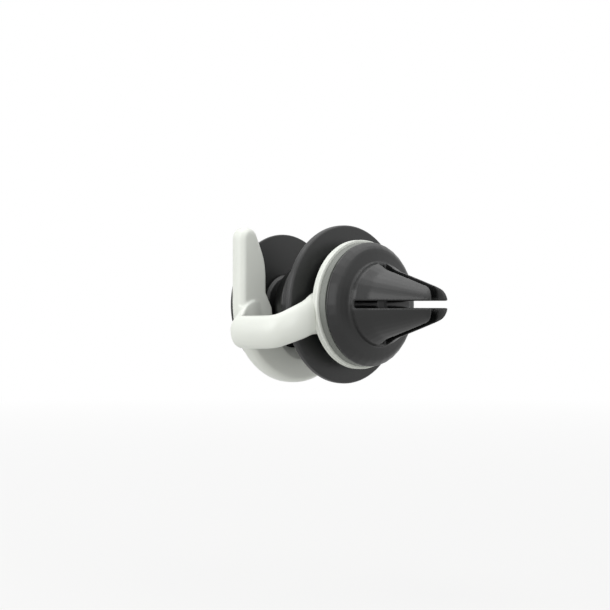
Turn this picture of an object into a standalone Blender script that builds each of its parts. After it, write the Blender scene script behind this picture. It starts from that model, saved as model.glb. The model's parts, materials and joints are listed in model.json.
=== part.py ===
"""Air vent phone holder: a swivelling four-jaw vent clip, an arm bracket with a U-shaped cradle,
and the collapsible grip that sits in the cradle.

The swivel axis is the Y axis. The jaws point to -Y, the phone side is +Y, and +Z is up.
The origin is on the swivel axis, 1 mm in front of the floor of the slot that takes the vent blade.
"""

import math

import bmesh
import bpy
from mathutils import Vector

MM = 0.001

# Clearances between pieces
SEAT_GAP = 0.2 * MM
RUNNING_GAP = 0.3 * MM
FIT_GAP = 0.15 * MM

# Vent clip: four jaws on a round nose
JAW_ROOT_RADIUS = 10.1 * MM
JAW_ROOT_FLARE = 0.3 * MM
JAW_ROOT_HEIGHT = 0.5 * MM
JAW_WAIST_RADIUS = 8.65 * MM
JAW_WAIST_DEPTH = 2.1 * MM
JAW_WAIST_ROUNDING = 6.0 * MM
JAW_TIP_RADIUS = 3.95 * MM
JAW_LENGTH = 17.4 * MM
JAW_TIP_ROUNDING = 1.2 * MM
BLADE_SLOT = 1.7 * MM
BLADE_SLOT_FLOOR = 1.0 * MM
CROSS_SLOT = 3.0 * MM
CROSS_SLOT_FLOOR = 1.3 * MM
CROSS_SLOT_FLARE = 1.0 * MM
CROSS_SLOT_FLARE_DEPTH = 2.0 * MM
CROSSING_BORE_RADIUS = 1.9 * MM
NOSE_VALLEY_DEPTH = 1.65 * MM
NOSE_ROUNDING = 1.0 * MM
BOOT_WALL = 3.45 * MM
BOOT_NOSE_WALL = 0.85 * MM
BOOT_CHAMFER = 2.0 * MM
BOOT_SHOULDER = 2.5 * MM
BOOT_REAR_ROUNDING = 0.4 * MM

# Core inside the clip: a hub with four prongs
CORE_PLATE = 1.2 * MM
CORE_SKIRT_WALL = 1.2 * MM
CORE_SKIRT_LENGTH = 1.1 * MM
CORE_EDGE = 0.4 * MM
CORE_BOSS_RADIUS = 3.0 * MM
PRONG_LENGTH = 15.5 * MM
PRONG_ROOT = 3.2 * MM
PRONG_TIP = 1.1 * MM
PRONG_SLOT_WALL = 0.75 * MM

# Swivel joint between the clip and the bracket
SCREW_SHANK_RADIUS = 1.25 * MM
SCREW_HEAD_RADIUS = 2.9 * MM
SCREW_HEAD_HEIGHT = 1.1 * MM
SCREW_DRIVE_RADIUS = 1.1 * MM
SCREW_DRIVE_DEPTH = 0.6 * MM
SCREW_BITE = 3.4 * MM
WASHER_WIDTH = 3.4 * MM
FLAT_WASHER_THICKNESS = 0.5 * MM
SPRING_THICKNESS = 0.3 * MM
SPRING_RISE = 0.4 * MM
FRICTION_WASHER_THICKNESS = 0.5 * MM
BUSH_WALL = 4.45 * MM
BUSH_LENGTH = 1.8 * MM
BUSH_TAPER = 0.25 * MM

# Bracket head: the cup that holds the swivel
HEAD_CAVITY_RADIUS = 9.2 * MM
HEAD_TUBE_WALL = 1.6 * MM
HEAD_WEB = 1.3 * MM
HEAD_ROOM = 0.6 * MM
HEAD_FLANGE = 1.7 * MM
HEAD_FLANGE_LIP = 1.95 * MM
HEAD_GROOVE_WIDTH = 0.5 * MM
HEAD_GROOVE_DEPTH = 0.25 * MM
HEAD_CUP_WALL = 2.2 * MM
HEAD_CUP_ROUNDING = 0.4 * MM
HEAD_FLANGE_ROUNDING = 0.45 * MM
HEAD_EDGE = 0.2 * MM
COVER_LEDGE = 2.5 * MM
COVER_THICKNESS = 1.0 * MM
COVER_DISH = 0.3 * MM
COVER_RIM = 2.0 * MM

# Cradle plate: a U whose throat seats the neck of the grip
CRADLE_RADIUS = 20.1 * MM
CRADLE_THICKNESS = 4.8 * MM
CRADLE_FRONT_ROUNDING = 2.2 * MM
CRADLE_REAR_ROUNDING = 1.0 * MM
THROAT_ROUNDING = 0.6 * MM
FINGER_HEIGHT = 19.3 * MM
FINGER_WIDTH = 8.0 * MM
FINGER_TIP_RADIUS = 2.8 * MM
FINGER_TAPER_Z = 10.5 * MM
SHOULDER_TOP = 3.0 * MM
SHOULDER_FOOT = 0.9 * MM
THROAT_DROP = 1.2 * MM
SCOOP_RADIUS = 8.3 * MM
SCOOP_DEPTH = 2.3 * MM
SCOOP_SLOPE = 1.35
SCOOP_REACH = 3.4 * MM

# Arm between the cradle and the head
ARM_THICKNESS = 3.0 * MM
ARM_CROWN = 0.22
ARM_HEIGHT = 8.4 * MM
ARM_ROOT_SWELL = 0.6 * MM
ARM_ROOT_HEIGHT = 10.4 * MM
ARM_CORNER_HEIGHT = 9.0 * MM
ARM_NECK_HEIGHT = 9.5 * MM
ARM_HEAD_HEIGHT = 10.4 * MM
ARM_HEAD_THICKNESS = 2.3 * MM
ARM_HEAD_SINK = 0.75 * MM
ARM_HEAD_REACH = 0.5 * MM
ARM_CORNER_SHARE = 0.67
ARM_CORNER_RISE = 1.5 * MM
ARM_NECK_SHARE = 0.38
ARM_NECK_RISE = 0.1 * MM
ARM_EASE = 0.4 * MM
ARM_ROOT_REACH = 4.0 * MM
ARM_BEND_RADIUS = 7.4 * MM
ARM_DISC_CLEARANCE = 2.1 * MM
ARM_ROOT_Z = -4.3 * MM
ARM_LOW_Z = -6.7 * MM
ARM_CORNER_Z = -4.8 * MM
ARM_NECK_Z = -3.6 * MM
ARM_HEAD_Z = -2.2 * MM

# Grip that sits in the cradle
DISC_RADIUS = 19.8 * MM
DISC_THICKNESS = 2.0 * MM
DISC_EDGE = 0.55 * MM
DISC_SOCKET_DEPTH = 1.1 * MM
DISC_TO_HEAD = 1.85 * MM
DISC_TO_CRADLE = 14.55 * MM
TOP_HUB_RADIUS = 13.0 * MM
TOP_HUB_THICKNESS = 1.5 * MM
TOP_STEM_RADIUS = 8.6 * MM
CLAMP_FLANGE = 0.7 * MM
CLAMP_INSET = 1.0 * MM
BELLOWS_WALL = 0.75 * MM
BELLOWS_NECK_RADIUS = 7.0 * MM
BELLOWS_NECK_SINK = 1.7 * MM
BELLOWS_CREST_STEP = 2.75 * MM
BELLOWS_FOLD_RADIUS = 12.4 * MM
BELLOWS_FOLD_REACH = 5.3 * MM
BELLOWS_WAIST_RADIUS = 11.0 * MM
BELLOWS_WAIST_REACH = 1.5 * MM
BELLOWS_MOUTH_RADIUS = 15.0 * MM
BELLOWS_MOUTH_REACH = 2.35 * MM
BELLOWS_MOUTH_STEP = 1.0 * MM
BELLOWS_BEAD = 0.8 * MM
BELLOWS_ROUNDING = 0.4 * MM
FOOT_STEM_RADIUS = 3.8 * MM
BASE_RADIUS = 18.15 * MM
BASE_THICKNESS = 0.9 * MM
BASE_TO_CRADLE = 1.5 * MM
BASE_EDGE = 0.4 * MM
BASE_FALL = 0.15 * MM
PAD_RADIUS = 17.4 * MM
PAD_THICKNESS = 0.6 * MM

# Smoothness of the round pieces
TURN_STEPS = 36
SMALL_TURN_STEPS = 28
CROSSING_STEPS = 16
ARC_STEPS = 2
SPRING_WAVES = 3

# Places along the swivel axis, from the jaws towards the phone
NOSE_VALLEY_Y = JAW_ROOT_HEIGHT + NOSE_VALLEY_DEPTH
CORE_FRONT_Y = NOSE_VALLEY_Y + BOOT_NOSE_WALL
CORE_REAR_Y = CORE_FRONT_Y + CORE_PLATE
HEAD_FRONT_Y = CORE_REAR_Y + RUNNING_GAP
WEB_REAR_Y = HEAD_FRONT_Y + HEAD_WEB
FRICTION_WASHER_Y = WEB_REAR_Y + FIT_GAP
SPRING_Y = FRICTION_WASHER_Y + FRICTION_WASHER_THICKNESS + FIT_GAP
BOSS_REAR_Y = SPRING_Y + SPRING_THICKNESS + SPRING_RISE
FLAT_WASHER_Y = BOSS_REAR_Y + FIT_GAP
SCREW_HEAD_Y = FLAT_WASHER_Y + FLAT_WASHER_THICKNESS + FIT_GAP
SCREW_END_Y = BOSS_REAR_Y - SCREW_BITE
CORE_SKIRT_Y = CORE_REAR_Y + CORE_SKIRT_LENGTH
BOOT_REAR_Y = CORE_SKIRT_Y
BUSH_FRONT_Y = BOOT_REAR_Y + RUNNING_GAP
BUSH_REAR_Y = BUSH_FRONT_Y + BUSH_LENGTH
FLANGE_FRONT_Y = BUSH_REAR_Y + FIT_GAP
FLANGE_REAR_Y = FLANGE_FRONT_Y + HEAD_FLANGE
LEDGE_Y = SCREW_HEAD_Y + SCREW_HEAD_HEIGHT + HEAD_ROOM
COVER_FRONT_Y = LEDGE_Y + FIT_GAP
CUP_REAR_Y = COVER_FRONT_Y + COVER_THICKNESS
DISC_FRONT_Y = CUP_REAR_Y + DISC_TO_HEAD
DISC_REAR_Y = DISC_FRONT_Y + DISC_THICKNESS
TOP_HUB_Y = DISC_REAR_Y - DISC_SOCKET_DEPTH + FIT_GAP
BELLOWS_MOUTH_Y = TOP_HUB_Y + TOP_HUB_THICKNESS + SEAT_GAP
TOP_CLAMP_Y = BELLOWS_MOUTH_Y + BELLOWS_WALL + FIT_GAP
CRADLE_FRONT_Y = DISC_REAR_Y + DISC_TO_CRADLE
CRADLE_MIDDLE_Y = CRADLE_FRONT_Y + CRADLE_THICKNESS / 2
CRADLE_REAR_Y = CRADLE_FRONT_Y + CRADLE_THICKNESS
BASE_FRONT_Y = CRADLE_REAR_Y + BASE_TO_CRADLE
BASE_REAR_Y = BASE_FRONT_Y + BASE_THICKNESS
BELLOWS_FOOT_Y = BASE_FRONT_Y - SEAT_GAP
FOOT_CLAMP_Y = BELLOWS_FOOT_Y - BELLOWS_WALL - FIT_GAP
PAD_FRONT_Y = BASE_REAR_Y + SEAT_GAP
PAD_REAR_Y = PAD_FRONT_Y + PAD_THICKNESS

# Radii that follow from one another, from the swivel's screw outwards
WEB_HOLE_RADIUS = CORE_BOSS_RADIUS + RUNNING_GAP
HEAD_TUBE_RADIUS = HEAD_CAVITY_RADIUS + HEAD_TUBE_WALL
BUSH_BORE_RADIUS = HEAD_TUBE_RADIUS + FIT_GAP
BUSH_RADIUS = BUSH_BORE_RADIUS + BUSH_WALL
SKIRT_BORE_RADIUS = HEAD_TUBE_RADIUS + RUNNING_GAP
SKIRT_RADIUS = SKIRT_BORE_RADIUS + CORE_SKIRT_WALL
BOOT_BORE_RADIUS = SKIRT_RADIUS + FIT_GAP
BOOT_RADIUS = BOOT_BORE_RADIUS + BOOT_WALL
COVER_RADIUS = HEAD_CAVITY_RADIUS + COVER_LEDGE
RECESS_RADIUS = COVER_RADIUS + FIT_GAP
CUP_RADIUS = RECESS_RADIUS + HEAD_CUP_WALL
FLANGE_RADIUS = CUP_RADIUS + HEAD_FLANGE_LIP
BELLOWS_CREST_RADIUS = BELLOWS_NECK_RADIUS + BELLOWS_CREST_STEP
BEAD_RADIUS = BELLOWS_NECK_RADIUS + BELLOWS_BEAD
THROAT_RADIUS = BELLOWS_CREST_RADIUS + SEAT_GAP
FOOT_BORE_RADIUS = FOOT_STEM_RADIUS + FIT_GAP
TOP_BORE_RADIUS = TOP_STEM_RADIUS + FIT_GAP
FINGER_INNER_X = CRADLE_RADIUS - FINGER_WIDTH
WASHER_BORE_RADIUS = CORE_BOSS_RADIUS + RUNNING_GAP
WASHER_RADIUS = WASHER_BORE_RADIUS + WASHER_WIDTH
SCREW_HOLE_RADIUS = SCREW_SHANK_RADIUS + FIT_GAP
ARM_X = DISC_RADIUS + ARM_DISC_CLEARANCE + ARM_THICKNESS / 2


def linear(hex_colour):
    """Turns an sRGB hex colour into the linear values that a material takes."""
    channels = [int(hex_colour[i : i + 2], 16) / 255 for i in (1, 3, 5)]
    return [c / 12.92 if c <= 0.04045 else ((c + 0.055) / 1.055) ** 2.4 for c in channels] + [1.0]


def make_material(name, hex_colour, roughness, metallic=0.0):
    material = bpy.data.materials.new(name)
    material.use_nodes = True
    shader = material.node_tree.nodes["Principled BSDF"]
    shader.inputs["Base Color"].default_value = linear(hex_colour)
    shader.inputs["Roughness"].default_value = roughness
    shader.inputs["Metallic"].default_value = metallic
    material.diffuse_color = linear(hex_colour)
    return material


def make_collection(name):
    collection = bpy.data.collections.new(name)
    bpy.context.scene.collection.children.link(collection)
    return collection


def add_object(name, mesh, collection, material=None):
    obj = bpy.data.objects.new(name, mesh)
    collection.objects.link(obj)
    if material:
        mesh.materials.append(material)
    if collection.hide_render:
        obj.hide_render = True
        obj.display_type = "WIRE"
    return obj


def corner_arc(before, corner, after, reach):
    """The points of a fillet on one corner of an outline, starting this far from the corner."""
    to_before = (before - corner).normalized()
    to_after = (after - corner).normalized()
    half = to_before.angle(to_after) / 2
    radius = reach * math.tan(half)
    centre = corner + (to_before + to_after).normalized() * (radius / math.sin(half))
    start = corner + to_before * reach - centre
    end = corner + to_after * reach - centre
    first = math.atan2(start.y, start.x)
    turn = (math.atan2(end.y, end.x) - first + math.pi) % (2 * math.pi) - math.pi
    points = []
    for step in range(ARC_STEPS + 1):
        angle = first + turn * step / ARC_STEPS
        points.append(centre + radius * Vector((math.cos(angle), math.sin(angle))))
    return points


def fillet_reaches(places, radii):
    """How far each corner's fillet reaches along its sides, made smaller where two would meet."""
    last = len(places) - 1
    reaches = []
    for i, radius in enumerate(radii):
        if not radius:
            reaches.append(0)
            continue
        to_before = places[i - 1] - places[i]
        to_after = places[(i + 1) % (last + 1)] - places[i]
        reaches.append(radius / math.tan(to_before.angle(to_after) / 2))
    shares = [1.0] * (last + 1)
    for i in range(last + 1):
        j = (i + 1) % (last + 1)
        wanted = reaches[i] + reaches[j]
        room = 0.96 * (places[j] - places[i]).length
        if wanted > room:
            shares[i] = min(shares[i], room / wanted)
            shares[j] = min(shares[j], room / wanted)
    return [reach * share for reach, share in zip(reaches, shares)]


def filleted(outline):
    """An outline's points, with an arc on each corner that has a third value, its fillet radius."""
    places = [Vector(corner[:2]) for corner in outline]
    radii = [corner[2] if len(corner) == 3 else 0 for corner in outline]
    points = []
    for i, reach in enumerate(fillet_reaches(places, radii)):
        if reach:
            points += corner_arc(places[i - 1], places[i], places[(i + 1) % len(places)], reach)
        else:
            points.append(places[i])
    return points


def turned(name, outline, collection, material=None, closed=True, steps=TURN_STEPS):
    """A piece turned about the Y axis from an outline of (radius, y, fillet) corners.

    The outline runs down the outer side, from the phone side to the jaw side, and back up the bore.
    A solid piece starts and ends on the axis and isn't closed.
    """
    mesh = bpy.data.meshes.new(name)
    shape = bmesh.new()
    verts = [shape.verts.new((place.x, 0, place.y)) for place in filleted(outline)]
    pairs = list(zip(verts, verts[1:]))
    if closed:
        pairs.append((verts[-1], verts[0]))
    for pair in pairs:
        shape.edges.new(pair)
    shape.to_mesh(mesh)
    shape.free()
    obj = add_object(name, mesh, collection, material)
    obj.rotation_euler = (-math.pi / 2, 0, 0)
    screw = obj.modifiers.new("Turn", "SCREW")
    screw.axis = "Z"
    screw.angle = 2 * math.pi
    screw.steps = steps
    screw.render_steps = steps
    screw.use_merge_vertices = True
    screw.merge_threshold = 0.00001
    screw.use_smooth_shade = True
    return obj


def combine(obj, other, operation):
    """Adds a Boolean that joins the other object to this one, or cuts it away."""
    boolean = obj.modifiers.new(f"{operation.title()} {other.name}", "BOOLEAN")
    boolean.operation = operation
    boolean.solver = "EXACT"
    boolean.object = other


def tapered_bar(name, low_end, high_end, collection, material=None):
    """A bar along Y between two rectangles, each given as (x low, x high, z low, z high, y)."""
    mesh = bpy.data.meshes.new(name)
    shape = bmesh.new()
    bmesh.ops.create_cube(shape, size=2)
    for vert in shape.verts:
        x_low, x_high, z_low, z_high, y = high_end if vert.co.y > 0 else low_end
        vert.co.x = x_high if vert.co.x > 0 else x_low
        vert.co.z = z_high if vert.co.z > 0 else z_low
        vert.co.y = y
    shape.to_mesh(mesh)
    shape.free()
    return add_object(name, mesh, collection, material)


def arc_points(centre_x, centre_z, radius, start_degrees, end_degrees, steps):
    points = []
    for step in range(steps + 1):
        angle = math.radians(start_degrees + (end_degrees - start_degrees) * step / steps)
        points.append((centre_x + radius * math.cos(angle), centre_z + radius * math.sin(angle)))
    return points


def finger_tip():
    """The end of the right finger, from its outer side over the tip and down its inner side."""
    centre_x = CRADLE_RADIUS - FINGER_TIP_RADIUS
    centre_z = FINGER_HEIGHT - FINGER_TIP_RADIUS
    tip = arc_points(centre_x, centre_z, FINGER_TIP_RADIUS, 0, 155, 10)
    lean = math.radians(25)
    start = Vector(tip[-1])
    bend = Vector((FINGER_INNER_X, start.y - (start.x - FINGER_INNER_X) / math.tan(lean)))
    end = Vector((FINGER_INNER_X, min(FINGER_TAPER_Z, bend.y - MM)))
    for step in range(1, 6):
        t = step / 5
        tip.append(tuple(start * (1 - t) ** 2 + bend * 2 * t * (1 - t) + end * t**2))
    return tip


def cradle_outline():
    """The U in the XZ plane, anticlockwise from the outer side of the right finger's tip."""
    right_tip = finger_tip()
    left_tip = [(-x, z) for x, z in reversed(right_tip)]
    shoulder_angle = math.degrees(math.asin((THROAT_DROP - SHOULDER_FOOT) / THROAT_RADIUS))
    throat = arc_points(0, -THROAT_DROP, THROAT_RADIUS, shoulder_angle, -180 - shoulder_angle, 24)
    right_shoulder = [(FINGER_INNER_X, SHOULDER_TOP)]
    left_shoulder = [(-FINGER_INNER_X, SHOULDER_TOP)]
    bottom = arc_points(0, 0, CRADLE_RADIUS, 180, 360, 32)
    return right_tip + right_shoulder + throat + left_shoulder + left_tip + bottom


def weigh_edges(shape):
    """Gives the plate's edges their fillets for the Bevel: large in front, small round the throat."""
    weights = shape.edges.layers.float.new("bevel_weight_edge")
    for edge in shape.edges:
        depths = [vert.co.z for vert in edge.verts]
        if depths[0] * depths[1] < 0:
            continue
        middle = (edge.verts[0].co + edge.verts[1].co) / 2
        rounding = CRADLE_FRONT_ROUNDING if depths[0] > 0 else CRADLE_REAR_ROUNDING
        if abs(middle.x) < FINGER_INNER_X + 0.01 * MM and middle.xy.length < CRADLE_RADIUS - MM:
            rounding = THROAT_ROUNDING
        edge[weights] = rounding / CRADLE_FRONT_ROUNDING


def extruded_plate(name, outline, thickness, collection, material=None):
    """A flat curve in the XZ plane, given its thickness along Y and made a mesh."""
    curve = bpy.data.curves.new(name, "CURVE")
    curve.dimensions = "2D"
    curve.fill_mode = "BOTH"
    curve.extrude = thickness / 2
    spline = curve.splines.new("POLY")
    spline.points.add(len(outline) - 1)
    for point, place in zip(spline.points, outline):
        point.co = (place[0], place[1], 0, 1)
    spline.use_cyclic_u = True
    guide = bpy.data.objects.new(name + "_outline", curve)
    bpy.context.scene.collection.objects.link(guide)
    guide.rotation_euler = (math.pi / 2, 0, 0)
    bpy.context.view_layer.update()
    graph = bpy.context.evaluated_depsgraph_get()
    mesh = bpy.data.meshes.new_from_object(guide.evaluated_get(graph))
    shape = bmesh.new()
    shape.from_mesh(mesh)
    bmesh.ops.remove_doubles(shape, verts=shape.verts, dist=0.000001)
    bmesh.ops.dissolve_limit(shape, angle_limit=0.01, verts=shape.verts, edges=shape.edges)
    bmesh.ops.recalc_face_normals(shape, faces=shape.faces)
    weigh_edges(shape)
    shape.to_mesh(mesh)
    shape.free()
    mesh.name = name
    plate = add_object(name, mesh, collection, material)
    plate.matrix_world = guide.matrix_world.copy()
    bpy.data.objects.remove(guide)
    return plate


def arm_stations():
    """The arm's centre line from inside the cradle to inside the head.

    Each station is x, y, z, height, thickness, roundness and crown. Roundness is 1 for an ellipse and
    less for a box. Crown is the share of the thickness that the outer side takes: a half is even.
    """
    bend_x = -(ARM_X - ARM_BEND_RADIUS)
    bend_y = CRADLE_MIDDLE_Y - ARM_BEND_RADIUS
    thick = ARM_THICKNESS
    root_height = 0.8 * ARM_ROOT_HEIGHT
    stations = [(bend_x + ARM_ROOT_REACH, CRADLE_MIDDLE_Y, ARM_ROOT_Z, root_height, thick, 0.7, 0.5)]
    root_thick = CRADLE_THICKNESS + ARM_ROOT_SWELL
    for degrees, share, roundness in ((0, 0.0, 0.6), (28, 0.3, 0.7), (60, 0.85, 0.9), (90, 1.0, 0.9)):
        angle = math.radians(degrees)
        x = bend_x - ARM_BEND_RADIUS * math.sin(angle)
        y = bend_y + ARM_BEND_RADIUS * math.cos(angle)
        z = ARM_ROOT_Z + (ARM_LOW_Z - ARM_ROOT_Z) * share
        height = ARM_ROOT_HEIGHT + (ARM_HEIGHT - ARM_ROOT_HEIGHT) * share
        thickness = root_thick + (thick - root_thick) * share
        stations.append((x, y, z, height, thickness, roundness, 0.5 + ARM_CROWN * share))
    middle_y = (bend_y + DISC_REAR_Y) / 2
    crown = 0.5 + ARM_CROWN
    stations.append((-ARM_X, middle_y, ARM_LOW_Z, ARM_HEIGHT, thick, 0.95, crown))
    stations.append((ARM_EASE - ARM_X, DISC_REAR_Y, 0.96 * ARM_LOW_Z, ARM_HEIGHT, thick, 0.9, crown))
    head_y = FLANGE_REAR_Y + ARM_HEAD_THICKNESS / 2 - ARM_HEAD_SINK
    corner_x = -CUP_RADIUS - ARM_CORNER_SHARE * (ARM_X - CUP_RADIUS)
    stations.append((corner_x, head_y + ARM_CORNER_RISE, ARM_CORNER_Z, ARM_CORNER_HEIGHT, thick, 0.8, 0.65))
    neck_x = -CUP_RADIUS - ARM_NECK_SHARE * (ARM_X - CUP_RADIUS)
    neck_thickness = (thick + ARM_HEAD_THICKNESS) / 2
    stations.append((neck_x, head_y + ARM_NECK_RISE, ARM_NECK_Z, ARM_NECK_HEIGHT, neck_thickness, 0.7, 0.55))
    for x in (-CUP_RADIUS - ARM_HEAD_REACH, MM - HEAD_CAVITY_RADIUS):
        stations.append((x, head_y, ARM_HEAD_Z, ARM_HEAD_HEIGHT, ARM_HEAD_THICKNESS, 0.65, 0.5))
    return [Vector(station) for station in stations]


def smooth_line(stations, per_span):
    """Points on a Catmull-Rom line through the stations."""
    points = []
    last = len(stations) - 1
    for i in range(last):
        p0 = stations[max(i - 1, 0)]
        p1 = stations[i]
        p2 = stations[i + 1]
        p3 = stations[min(i + 2, last)]
        for step in range(per_span):
            t = step / per_span
            points.append(
                0.5 * (2 * p1 + (p2 - p0) * t + (2 * p0 - 5 * p1 + 4 * p2 - p3) * t**2
                       + (3 * p1 - p0 - 3 * p2 + p3) * t**3)
            )
    points.append(stations[last])
    return points


def lofted_arm(name, collection):
    """The strap of the arm: a rounded section swept along its centre line, changing as it goes."""
    line = smooth_line(arm_stations(), 3)
    section_points = 20
    shape = bmesh.new()
    rings = []
    for i, station in enumerate(line):
        ahead = line[min(i + 1, len(line) - 1)]
        behind = line[max(i - 1, 0)]
        along = Vector((ahead[0] - behind[0], ahead[1] - behind[1], 0)).normalized()
        across = Vector((along.y, -along.x, 0))
        ring = []
        for step in range(section_points):
            angle = 2 * math.pi * step / section_points
            side = abs(math.cos(angle)) ** station[5]
            side *= station[6] if math.cos(angle) > 0 else station[6] - 1
            rise = math.copysign(abs(math.sin(angle)) ** station[5], math.sin(angle))
            place = Vector(station[:3]) + across * station[4] * (side + 0.5 - station[6])
            place.z += rise * station[3] / 2
            ring.append(shape.verts.new(place))
        rings.append(ring)
    for ring, following in zip(rings, rings[1:]):
        for step in range(section_points):
            after = (step + 1) % section_points
            shape.faces.new((ring[step], ring[after], following[after], following[step]))
    shape.faces.new(rings[0])
    shape.faces.new(rings[-1])
    bmesh.ops.recalc_face_normals(shape, faces=shape.faces)
    mesh = bpy.data.meshes.new(name)
    shape.to_mesh(mesh)
    shape.free()
    mesh.shade_smooth()
    return add_object(name, mesh, collection)


def make_bracket(parts, cutters, material):
    """Cradle, arm and head in one moulding."""
    bracket = extruded_plate("cradle_bracket", cradle_outline(), CRADLE_THICKNESS, parts, material)
    bracket.location.y = CRADLE_MIDDLE_Y
    rounding = bracket.modifiers.new("Edge rounding", "BEVEL")
    rounding.width = CRADLE_FRONT_ROUNDING
    rounding.segments = 4
    rounding.limit_method = "WEIGHT"
    rounding.use_clamp_overlap = False
    combine(bracket, lofted_arm("arm_form", cutters), "UNION")
    groove_y = (FLANGE_FRONT_Y + FLANGE_REAR_Y) / 2 + HEAD_GROOVE_WIDTH / 2
    head = turned("head_form", [
        (0, CUP_REAR_Y),
        (CUP_RADIUS, CUP_REAR_Y, HEAD_CUP_ROUNDING),
        (CUP_RADIUS, FLANGE_REAR_Y),
        (FLANGE_RADIUS, FLANGE_REAR_Y, HEAD_FLANGE_ROUNDING),
        (FLANGE_RADIUS, groove_y + HEAD_GROOVE_WIDTH / 2),
        (FLANGE_RADIUS - HEAD_GROOVE_DEPTH, groove_y),
        (FLANGE_RADIUS, groove_y - HEAD_GROOVE_WIDTH / 2),
        (FLANGE_RADIUS, FLANGE_FRONT_Y, HEAD_EDGE),
        (HEAD_TUBE_RADIUS, FLANGE_FRONT_Y),
        (HEAD_TUBE_RADIUS, HEAD_FRONT_Y, HEAD_EDGE),
        (0, HEAD_FRONT_Y),
    ], cutters, closed=False)
    combine(bracket, head, "UNION")
    cavity = turned("head_cavity_cutter", [
        (0, CUP_REAR_Y + MM),
        (RECESS_RADIUS, CUP_REAR_Y + MM),
        (RECESS_RADIUS, LEDGE_Y),
        (HEAD_CAVITY_RADIUS, LEDGE_Y),
        (HEAD_CAVITY_RADIUS, WEB_REAR_Y),
        (WEB_HOLE_RADIUS, WEB_REAR_Y),
        (WEB_HOLE_RADIUS, HEAD_FRONT_Y - MM),
        (0, HEAD_FRONT_Y - MM),
    ], cutters, closed=False)
    combine(bracket, cavity, "DIFFERENCE")
    scoop_back = SCOOP_RADIUS - SCOOP_SLOPE * SCOOP_DEPTH
    scoop = turned("scoop_cutter", [
        (0, CRADLE_FRONT_Y + SCOOP_DEPTH),
        (scoop_back, CRADLE_FRONT_Y + SCOOP_DEPTH),
        (SCOOP_RADIUS + SCOOP_SLOPE * MM, CRADLE_FRONT_Y - MM),
        (0, CRADLE_FRONT_Y - MM),
    ], cutters, closed=False, steps=SMALL_TURN_STEPS)
    scoop.location.z = SCOOP_RADIUS - THROAT_RADIUS - THROAT_DROP - SCOOP_REACH
    combine(bracket, scoop, "DIFFERENCE")
    turned("bracket_back_cover", [
        (0, CUP_REAR_Y - COVER_DISH),
        (COVER_RADIUS - COVER_RIM, CUP_REAR_Y - COVER_DISH),
        (COVER_RADIUS - COVER_RIM + COVER_DISH, CUP_REAR_Y),
        (COVER_RADIUS, CUP_REAR_Y, COVER_DISH / 2),
        (COVER_RADIUS, COVER_FRONT_Y),
        (0, COVER_FRONT_Y),
    ], parts, material, closed=False)


def boot_profile():
    """The outside of the nose and the jaws, before the slots are cut."""
    valley_radius = JAW_ROOT_RADIUS + JAW_ROOT_FLARE
    shoulder_y = BOOT_REAR_Y - BOOT_CHAMFER * 1.2
    return [
        (0, BOOT_REAR_Y),
        (BOOT_RADIUS, BOOT_REAR_Y, BOOT_REAR_ROUNDING),
        (BOOT_RADIUS - BOOT_CHAMFER, shoulder_y, BOOT_SHOULDER),
        (valley_radius, NOSE_VALLEY_Y, NOSE_ROUNDING / 4),
        (JAW_ROOT_RADIUS, JAW_ROOT_HEIGHT, NOSE_ROUNDING),
        (JAW_WAIST_RADIUS, -JAW_WAIST_DEPTH, JAW_WAIST_ROUNDING),
        (JAW_TIP_RADIUS, -JAW_LENGTH, JAW_TIP_ROUNDING),
        (0, -JAW_LENGTH),
    ]


def prong_ends(side_x, side_z, gap):
    """The two end rectangles of one prong, or of its pocket where a gap is added."""
    near_x = CROSS_SLOT / 2 + PRONG_SLOT_WALL
    near_z = BLADE_SLOT / 2 + PRONG_SLOT_WALL
    ends = []
    for size, y in ((PRONG_TIP, CORE_FRONT_Y - PRONG_LENGTH - gap), (PRONG_ROOT, CORE_FRONT_Y + gap)):
        x_range = sorted((side_x * (near_x - gap), side_x * (near_x + size + gap)))
        z_range = sorted((side_z * (near_z - gap), side_z * (near_z + size + gap)))
        ends.append((*x_range, *z_range, y))
    return ends


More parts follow.
